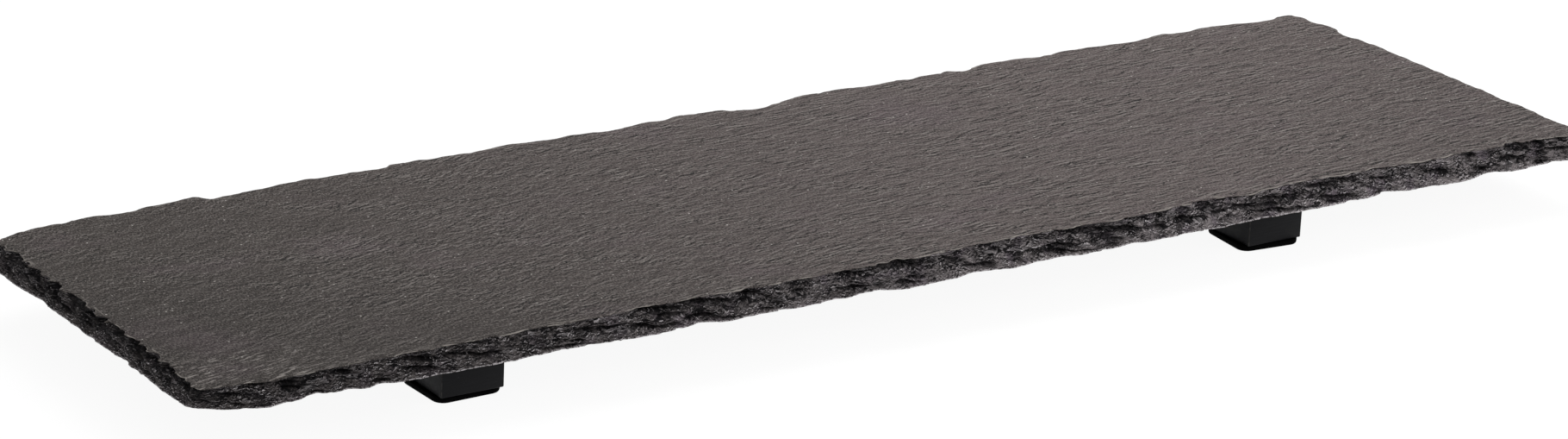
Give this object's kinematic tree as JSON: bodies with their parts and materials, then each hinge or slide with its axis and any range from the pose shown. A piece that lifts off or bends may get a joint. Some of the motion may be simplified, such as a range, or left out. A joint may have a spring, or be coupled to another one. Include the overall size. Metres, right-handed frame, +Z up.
{
  "type": "slate serving board",
  "caption": "Long riven slate serving board with a hand-chipped edge, raised on square black feet with rubber pads.",
  "frame": {"origin": "centre of the board's outline on the surface that it stands on", "axes": "+X along the length to the right, +Y from the front edge to the back edge, +Z up"},
  "size_m": [0.5316, 0.1637, 0.025],
  "materials": {
    "slate": "riven, dry, matt",
    "bond": "foam adhesive pad, matt",
    "block": "black, satin to matt",
    "pad": "black, matt"
  },
  "bodies": {
    "root": {"slate_slab": "slate", "front_left_bond": "bond", "front_right_bond": "bond", "back_left_bond": "bond", "back_right_bond": "bond", "front_left_block": "block", "front_right_block": "block", "back_left_block": "block", "back_right_block": "block", "front_left_pad": "pad", "front_right_pad": "pad", "back_left_pad": "pad", "back_right_pad": "pad"}
  },
  "joints": []
}
